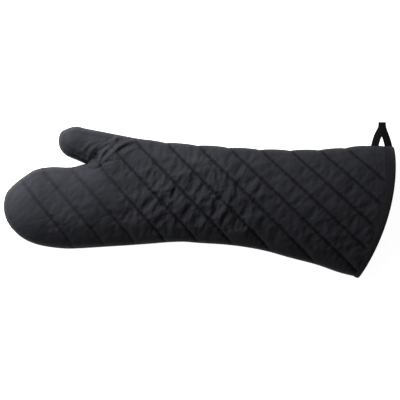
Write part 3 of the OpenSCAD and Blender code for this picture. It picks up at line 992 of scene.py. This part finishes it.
def cuff_point(turn, e, depth):
    """A point of the cuff: turn is the angle round the mouth, e the distance back from its edge."""
    d = LENGTH - e
    high, low = float(curve_y(SLEEVE_UPPER, d)), float(lower_y(d))
    half = (high - low) / 2 - depth
    y = (high + low) / 2 + half * math.cos(turn)
    z = float(side_z(d, y, depth, math.sin(turn) >= 0)) if abs(math.sin(turn)) > 1e-6 else SEAM_Z
    return np.array([TIP_X + d - float(rib_bow(d, y)), y, z])


def binding_profile(turn):
    """The folded tape's cross-section: distances back from the edge with depths under the cloth's face."""
    wave = 0.16 * math.sin(31 * turn) + 0.12 * math.sin(53 * turn + 1) + 0.1 * math.sin(17 * turn + 2)
    swell = 0.2 * math.sin(44 * turn + 3) + 0.12 * math.sin(71 * turn)
    w = WALL
    return [
        (12.1 + wave, 0.2), (12.1 + wave, -0.2), (11.7 + wave, -0.42), (10.7, -0.55 - 0.6 * swell),
        (9.8, -0.42), (8.9, -0.8), (7.4, -1.0 + swell), (5, -1.1 - 0.6 * swell), (2.6, -1.15 + 0.4 * swell),
        (0.8, -1.1), (-0.35, -0.8), (-1.0, 0.1), (-1.25, w / 2), (-1.0, w - 0.1), (-0.35, w + 0.8),
        (0.8, w + 1.1), (2.6, w + 1.15), (5, w + 1.1 + 0.5 * swell), (7.4, w + 1.05 - swell), (8.9, w + 0.8),
        (9.8, w + 0.45), (10.7, w + 0.75), (11.6 - wave, w + 0.7), (12.1 - wave, w + 0.4),
        (12.1 - wave, w + 0.1), (10, w + 0.05), (6, w + 0.05), (1.5, w + 0.05), (0.2, w - 0.2), (-0.2, w / 2),
        (0.2, 0.2), (1.5, 0), (6, 0), (10, 0),
    ]


def cuff_binding():
    """The folded tape all round the mouth, with shade painted in where its inner edges are pressed into the
    cloth.
    """
    turns = (np.arange(360) + 0.5) * 2 * np.pi / 360
    rings = [[cuff_point(turn, e, depth) for e, depth in binding_profile(turn)] for turn in turns]
    n, count = len(rings[0]), len(rings)
    faces = [
        [i * n + j, (i + 1) % count * n + j, (i + 1) % count * n + (j + 1) % n, i * n + (j + 1) % n]
        for i in range(count) for j in range(n)
    ]
    skin = np.array(rings).reshape(-1, 3)
    skin[:, 2] = np.maximum(skin[:, 2], 0.15)
    obj = mesh_of("cuff_binding_tape", skin, faces)
    # painted shade: darker towards the tape's inner edges, where they sink into the cloth
    set_shade(obj, "painted_shade", np.tile(ramp([e for e, _ in binding_profile(0)], 2.5, 8), count))
    return obj


def topstitch_row(depth, upward):
    """Stitches round the mouth along one leg of the binding."""
    turns = np.linspace(0, 2 * np.pi, 900)
    line, under = (
        np.array([cuff_point(turn, STITCH_E, down) for turn in turns]) for down in (depth, depth + 1)
    )
    return stitches_along(line, unit(line - under) * upward, 0, 0.8)


# ---------------------------------------------------------------- the hanging loop: one folded tape
TAPE_W, TAPE_T = 11.8, 1.5
HINGE_Y = JOINTS["loop_swing"]["pos_m"][1] / MM
HALF_FOOT = TAPE_W / math.cos(math.radians(21)) / 2


def smooth_run(rows, count):
    """A smooth curve through rows of values, evenly spaced by the first three."""
    rows = np.array(rows, float)
    for _ in range(4):
        middle = np.empty((2 * len(rows) - 1, rows.shape[1]))
        middle[::2], middle[1::2] = rows, (rows[1:] + rows[:-1]) / 2
        inner = 0.25 * middle[:-2] + 0.5 * middle[1:-1] + 0.25 * middle[2:]
        rows = np.vstack([middle[:1], inner, middle[-1:]])
    run = run_of(rows[:, :3])
    return read_off(np.linspace(0, run[-1], count), run, rows)


def hanging_loop():
    """One tape, up from the left foot, over the fold and down to the right foot, and its length."""
    gap = TAPE_T / 2 + 0.12
    foot, top, z, lean = HINGE_Y, LOOP_HIGH[1] - gap - TAPE_T / 2, SEAM_Z, math.radians(22)
    left, right, neck = LOOP_LOW[0] + HALF_FOOT, LOOP_HIGH[0] - HALF_FOOT, LOOP_HIGH[1] - 9
    x = (left + right) / 2 + 0.7
    # each row: a place of the tape's middle, its lean in plan, and its roll
    path = [
        (left - 2.6, foot - 11, z, lean, 0), (left - 0.4, foot - 3, z, lean, 0),
        (left + 0.2, foot + 1, z, lean, 0), (left + 2.1, foot + 8, z - 0.2, lean, 0.1),
        (left + 5.6, foot + 17, z - 0.6, lean, 0.1), (x - 0.9, neck - 2, z - gap, lean * 0.7, 0),
        (x, neck + 3, z - gap, 0.05, 0), (x, top - 1.2, z - gap, 0, 0), (x, top - 0.2, z - gap, 0, 0),
        (x, top + gap * 0.9, z - gap * 0.7, 0, 0), (x, top + gap * 1.25, z, 0, 0),
        (x, top + gap * 0.9, z + gap * 0.7, 0, 0),
        (x, top - 0.2, z + gap, 0, 0), (x, top - 1.2, z + gap, 0, 0), (x, neck + 3, z + gap, -0.05, 0),
        (x + 0.9, neck - 2, z + gap, -lean * 0.7, 0), (right - 5.8, foot + 17, z + 0.6, -lean, -0.1),
        (right - 2.4, foot + 8, z + 0.2, -lean, -0.1), (right - 0.6, foot + 1, z, -lean, 0),
        (right + 0.4, foot - 3, z, -lean, 0), (right + 2.6, foot - 11, z, -lean, 0),
    ]
    rows = smooth_run(path, 150)
    centre, lean, roll = rows[:, :3], rows[:, 3], rows[:, 4]
    along = unit(np.gradient(centre, axis=0))
    across = np.stack([np.cos(lean), -np.sin(lean), roll], axis=1)
    across = unit(across - along * np.sum(across * along, axis=1)[:, None])
    over = np.cross(across, along)
    w, t = TAPE_W / 2, TAPE_T / 2
    profile = [
        (-w, 0.0), (-w + 0.15, 0.55 * t), (-w + 0.6, 0.95 * t), (-w + 1.2, 0.8 * t), (-2.6, 0.92 * t), (0, t),
        (2.6, 0.92 * t), (w - 1.2, 0.8 * t), (w - 0.6, 0.95 * t), (w - 0.15, 0.55 * t), (w, 0.0),
    ]
    profile += [(a, -b) for a, b in profile[-2:0:-1]]
    bow = 0.25 * np.sin(np.linspace(0, 9 * np.pi, len(rows)))
    rings = [
        centre + across * a + over * (b + bow * 0.5 * (1 - (a / w) ** 2))[:, None] for a, b in profile
    ]
    skin = np.stack(rings, axis=1).reshape(-1, 3)
    n, count = len(profile), len(rows)
    faces = [
        [i * n + j, i * n + (j + 1) % n, (i + 1) * n + (j + 1) % n, (i + 1) * n + j]
        for i in range(count - 1) for j in range(n)
    ]
    faces += [list(range(n))[::-1], [(count - 1) * n + j for j in range(n)]]
    obj = mesh_of("hanging_loop_tape", skin, faces)
    run = run_of(centre)
    wide, thick = (np.tile(column, count) for column in zip(*profile))
    set_place(obj, np.stack([wide, np.repeat(run, n), thick], axis=1))
    return obj, float(run[-1])


# ---------------------------------------------------------------- materials
INPUTS = {
    "colour": "Base Color", "rough": "Roughness", "normal": "Normal", "specular": "Specular IOR Level",
    "sheen": "Sheen Weight", "tint": "Sheen Tint",
    "glow": "Emission Color", "glow_power": "Emission Strength",
}


class Nodes:
    """A short way to write a material's nodes. Lengths in them are in metres."""

    def __init__(self, name):
        self.material = bpy.data.materials.new(name)
        self.material.use_nodes = True
        self.tree = self.material.node_tree
        self.shader = self.tree.nodes["Principled BSDF"]

    def node(self, kind, settings=None, **inputs):
        made = self.tree.nodes.new("ShaderNode" + kind)
        for key, value in (settings or {}).items():
            setattr(made, key, value)
        for key, value in inputs.items():
            self.set(made, int(key[1:]) if key[1:].isdigit() else key.replace("_", " "), value)
        return made

    def set(self, node, key, value):
        if isinstance(value, bpy.types.NodeSocket):
            self.tree.links.new(value, node.inputs[key])
        elif isinstance(value, bpy.types.Node):
            self.tree.links.new(value.outputs[0], node.inputs[key])
        else:
            node.inputs[key].default_value = value

    def math(self, operation, a, b=0.0, c=0.0):
        return self.node("Math", {"operation": operation}, _0=a, _1=b, _2=c)

    def times(self, a, b):
        return self.math("MULTIPLY", a, b)

    def mix(self, factor, a, b):
        made = self.node("Mix", {"data_type": "RGBA"})
        for key, value in ((0, factor), (6, a), (7, b)):
            self.set(made, key, value)
        return made.outputs[2]

    def ramp(self, value, low, high, to_low=0.0, to_high=1.0):
        return self.node("MapRange", None, _0=value, _1=low, _2=high, _3=to_low, _4=to_high)

    def place(self):
        return self.node("TexCoord").outputs["Object"]

    def cloth_place(self):
        return self.node("Attribute", {"attribute_name": "cloth_place"}).outputs["Vector"]

    def shade(self, name):
        return self.node("Attribute", {"attribute_name": name}).outputs["Fac"]

    def turned(self, place, angle):
        kind = {"rotation_type": "Z_AXIS"}
        return self.node("VectorRotate", kind, Vector=place, Angle=math.radians(angle))

    def axes(self, place):
        return self.node("SeparateXYZ", None, Vector=place).outputs

    def noise(self, place, scale, detail=3.0, rough=0.5):
        return self.node("TexNoise", None, Vector=place, Scale=scale, Detail=detail, Roughness=rough)

    def wave(self, value, period):
        """Rises and falls between 0 and 1, a period apart."""
        sine = self.math("SINE", self.times(value, 2 * math.pi / period))
        return self.math("MULTIPLY_ADD", sine, 0.5, 0.5)

    def waves(self, place, period, angle):
        """Sharp threads across a direction in the flat cloth, a period apart, from 0 to 1."""
        return self.wave(self.axes(self.turned(place, angle))[0], period)

    def bump(self, height, strength, distance, normal=None):
        made = self.node("Bump", None, Strength=strength, Distance=distance, Height=height)
        if normal is not None:
            self.set(made, "Normal", normal)
        return made

    def finish(self, **inputs):
        for key, value in inputs.items():
            self.set(self.shader, INPUTS[key], value)
        return self.material


def black_cotton():
    """Close cotton twill, faded a little where folds rub, with fine lint."""
    n = Nodes("black_cotton_twill")
    flat, solid = n.cloth_place(), n.place()
    warp = n.waves(flat, 0.00062, 52)
    weft = n.waves(flat, 0.00078, -38)
    weave = n.times(n.math("POWER", warp, 0.7), n.math("ADD", n.times(weft, 0.45), 0.55))
    cloud = n.noise(solid, 26, 4, 0.6)
    mottle = n.noise(solid, 160, 4, 0.65)
    lint = n.noise(flat, 2600, 2, 0.6)
    rubbed = n.ramp(n.node("NewGeometry").outputs["Pointiness"], 0.51, 0.6)
    base = n.mix(n.ramp(cloud, 0.3, 0.7), (0.0143, 0.0151, 0.0191, 1), (0.0221, 0.0228, 0.0275, 1))
    base = n.mix(n.times(n.ramp(mottle, 0.4, 0.75), 0.5), base, (0.0291, 0.0299, 0.0354, 1))
    base = n.mix(n.times(rubbed, 0.35), base, (0.0435, 0.0444, 0.0520, 1))
    base = n.mix(n.times(weave, 0.35), n.mix(0.5, base, (0.004, 0.004, 0.005, 1)), base)
    base = n.mix(n.ramp(lint, 0.7, 0.8, 0, 0.4), base, (0.06, 0.062, 0.068, 1))
    # painted shade: the cloth goes near black in its grooves, fold valleys, seam and at the binding's edge
    base = n.mix(n.times(n.shade("painted_shade"), 0.95), base, (0.002, 0.002, 0.0035, 1))
    rough = n.ramp(mottle, 0.3, 0.7, 0.78, 0.95)
    drawn = n.node("VectorMath", {"operation": "MULTIPLY"}, _0=n.turned(flat, -68), _1=(0.4, 1, 1))
    crinkle = n.times(n.noise(drawn, 210, 2, 0.5), n.shade("cloth_gather"))
    height = n.bump(crinkle, 0.5, 0.003)
    height = n.bump(mottle, 0.35, 0.0008, height)
    height = n.bump(weave, 0.5, 0.00012, height)
    tint = (0.85, 0.88, 1.0, 1)
    return n.finish(colour=base, rough=rough, normal=height, sheen=0.02, tint=tint, specular=0.08)


def plain_lining():
    n = Nodes("charcoal_lining_cotton")
    flat, solid = n.cloth_place(), n.place()
    weave = n.times(n.waves(flat, 0.0006, 0), n.waves(flat, 0.0006, 90))
    cloud = n.noise(solid, 60, 4, 0.6)
    base = n.mix(cloud, (0.044, 0.045, 0.049, 1), (0.068, 0.069, 0.074, 1))
    base = n.mix(n.times(weave, 0.5), base, (0.100, 0.102, 0.108, 1))
    height = n.bump(weave, 0.5, 0.00015, n.bump(cloud, 0.4, 0.0012))
    rough = n.ramp(cloud, 0.3, 0.7, 0.8, 0.95)
    return n.finish(colour=base, rough=rough, normal=height, sheen=0.1, specular=0.2)


def cotton_batting():
    n = Nodes("cotton_batting")
    solid = n.place()
    fibre = n.noise(solid, 900, 5, 0.7)
    lump = n.noise(solid, 90, 3, 0.6)
    base = n.mix(fibre, (0.50, 0.48, 0.43, 1), (0.78, 0.76, 0.70, 1))
    height = n.bump(fibre, 0.6, 0.0004, n.bump(lump, 0.5, 0.002))
    rough = n.ramp(lump, 0.3, 0.7, 0.9, 1.0)
    return n.finish(colour=base, rough=rough, normal=height, sheen=0.3, specular=0.1)


def binding_tape():
    """A plain-woven tape, duller and blacker than the cloth, with fine ribs across it."""
    n = Nodes("black_binding_tape")
    solid = n.place()
    x, y, _ = n.axes(solid)
    weave = n.times(n.wave(y, 0.00085), n.wave(x, 0.0007))
    cloud = n.noise(solid, 120, 4, 0.6)
    base = n.mix(cloud, (0.0042, 0.0044, 0.0055, 1), (0.0078, 0.0081, 0.0098, 1))
    base = n.mix(n.times(weave, 0.6), base, (0.0122, 0.0126, 0.0153, 1))
    # painted shade: blacker towards the tape's inner edges
    base = n.mix(n.times(n.shade("painted_shade"), 0.65), base, (0.002, 0.002, 0.0032, 1))
    height = n.bump(weave, 0.4, 0.0001, n.bump(cloud, 0.3, 0.0005))
    rough = n.ramp(cloud, 0.3, 0.7, 0.75, 0.92)
    return n.finish(colour=base, rough=rough, normal=height, sheen=0.03, specular=0.15)


def loop_tape():
    """A herringbone-woven tape."""
    n = Nodes("black_loop_tape")
    flat = n.cloth_place()
    across, along, _ = n.axes(flat)
    zig = n.math("PINGPONG", n.math("ADD", across, 0.1), 0.0018)
    weave = n.wave(n.math("MULTIPLY_ADD", zig, 1.2, along), 0.0009)
    cloud = n.noise(flat, 200, 4, 0.6)
    base = n.mix(cloud, (0.0022, 0.0023, 0.0031, 1), (0.0038, 0.0041, 0.0052, 1))
    base = n.mix(n.times(weave, 0.5), base, (0.008, 0.0083, 0.0102, 1))
    height = n.bump(weave, 0.6, 0.00018, n.bump(cloud, 0.3, 0.0004))
    rough = n.ramp(weave, 0, 1, 0.9, 0.75)
    return n.finish(colour=base, rough=rough, normal=height, sheen=0.02, specular=0.1)


def thread():
    """Twisted polyester thread, a little shinier than the cloth."""
    n = Nodes("black_thread")
    x, y, z = n.axes(n.place())
    twist = n.wave(n.math("ADD", n.math("ADD", x, y), z), 0.0005)
    base = n.mix(twist, (0.003, 0.003, 0.0035, 1), (0.0085, 0.0088, 0.0105, 1))
    rough, height = n.ramp(twist, 0, 1, 0.7, 0.5), n.bump(twist, 0.5, 0.0001)
    return n.finish(colour=base, rough=rough, normal=height, specular=0.25)


COTTON, LINING, BATTING = black_cotton(), plain_lining(), cotton_batting()
BINDING, LOOP, THREAD = binding_tape(), loop_tape(), thread()


for is_thumb in (False, True):
    body, prefix = ("thumb", "thumb_") if is_thumb else ("mitt", "")
    for is_front in (True, False):
        end = "front" if is_front else "back"
        shell_node = f"thumb_shell_{end}" if is_thumb else f"outer_shell_{end}"
        shell = shell_piece(shell_node + "_cloth", is_front, is_thumb)
        finish_piece(shell, body, [shell_node], COTTON)
        wool = ply(f"{prefix}batting_{end}_pad", is_front, is_thumb, *BATTING_FACES)
        finish_piece(wool, body, [f"{prefix}batting_{end}"], BATTING)
        lining = ply(f"{prefix}lining_{end}_cloth", is_front, is_thumb, *LINING_FACES)
        finish_piece(lining, body, [f"{prefix}lining_{end}"], LINING)

stitches = quilting_stitches()
for part, body, node in (
    ("front", "mitt", "quilting_thread_front"), ("back", "mitt", "quilting_thread_back"),
    ("thumb", "thumb", "thumb_quilting_thread"),
):
    finish_piece(mesh_of(node + "_stitches", *joined(stitches[part])), body, [node], THREAD)

finish_piece(thumb_seam_stitching(), "thumb", ["thumb_seam_thread"], THREAD)

tape = finish_piece(cuff_binding(), "mitt", ["cuff_binding"], BINDING)
topstitching = mesh_of("cuff_topstitching", *joined(topstitch_row(-0.62, 1) + topstitch_row(WALL + 0.6, -1)))
finish_piece(topstitching, "mitt", ["cuff_topstitch_thread"], THREAD)

loop, loop_length = hanging_loop()
finish_piece(loop, "loop", ["hanging_loop", "loop_anchor_tabs"], LOOP)

for node in ("side_seam_thread", "loop_bartack_thread"):
    frame["nodes"][node].data.materials.clear()
    frame["nodes"][node].data.materials.append(THREAD)

# ---------------------------------------------------------------- floor, light and camera
VIEW_X = 0.00155                                  # the photo's middle is this far past the mitt's
CAMERA_HEIGHT, VIEW_WIDTH = 3.0, 0.6224


def floor_material():
    n = Nodes("pale_floor")
    tone = n.mix(n.noise(n.place(), 3, 2), (0.80, 0.80, 0.80, 1), (0.84, 0.84, 0.84, 1))
    return n.finish(colour=tone, rough=0.9, glow=(1, 1, 1, 1), glow_power=0.93)


floor_mesh = bpy.data.meshes.new("floor")
floor_mesh.from_pydata([(-6, -6, 0), (6, -6, 0), (6, 6, 0), (-6, 6, 0)], [], [(0, 1, 2, 3)])
floor = in_scene("floor", floor_mesh)
floor.data.materials.append(floor_material())


def area_light(name, place, target, size, power, colour=(1, 1, 1)):
    light = bpy.data.lights.new(name, "AREA")
    light.shape, light.size, light.energy, light.color = "SQUARE", size, power, colour
    obj = in_scene(name, light)
    obj.location = place
    obj.rotation_mode = "QUATERNION"
    obj.rotation_quaternion = (Vector(target) - Vector(place)).to_track_quat("-Z", "Y")


area_light("key", (-0.66, 0.69, 0.46), (-0.6, 0, 0.02), 0.45, 38)
area_light("soft_top", (-0.60, 0.03, 0.7), (-0.35, 0, 0), 0.5, 2.2)

world = bpy.data.worlds.new("studio")
world.use_nodes = True
background = world.node_tree.nodes["Background"]
background.inputs["Color"].default_value = (1, 1, 1, 1)
background.inputs["Strength"].default_value = 0.085
bpy.context.scene.world = world

camera_data = bpy.data.cameras.new("camera")
camera_data.sensor_width = 36
camera_data.lens = 36 * (CAMERA_HEIGHT - SEAM_Z * MM) / VIEW_WIDTH
camera_data.clip_end = 50
camera = in_scene("camera", camera_data)
camera.location = (VIEW_X, 0, CAMERA_HEIGHT)
bpy.context.scene.camera = camera
bpy.context.scene.view_settings.view_transform = "Standard"
